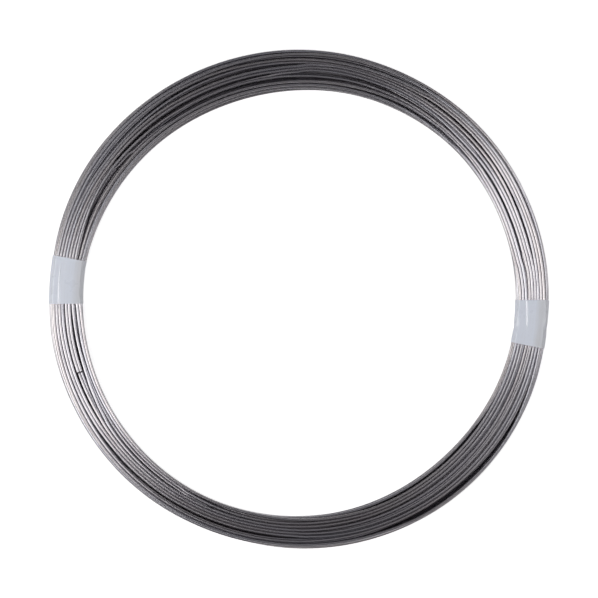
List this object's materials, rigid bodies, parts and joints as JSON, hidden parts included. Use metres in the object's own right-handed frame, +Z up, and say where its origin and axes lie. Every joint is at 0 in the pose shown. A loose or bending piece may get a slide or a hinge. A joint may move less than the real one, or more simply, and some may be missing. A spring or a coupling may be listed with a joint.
{
  "type": "coil of steel wire",
  "caption": "Flat ring-shaped coil of bright drawn steel wire, held by bands of white plastic tape on opposite sides, with cut tails lying in the top row.",
  "frame": {"origin": "centre of the coil on the floor that it lies on", "axes": "+Z up along the coil's axis, +X towards the right-hand tape band and +Y towards the side where the turns bulge inwards"},
  "size_m": [0.2, 0.1993, 0.006],
  "materials": {
    "bright_steel": "bright drawn wire",
    "white_tape": "glossy film"
  },
  "bodies": {
    "root": {"wire_coil": "bright_steel", "tape_band_left": "white_tape", "tape_band_right": "white_tape"}
  },
  "joints": []
}
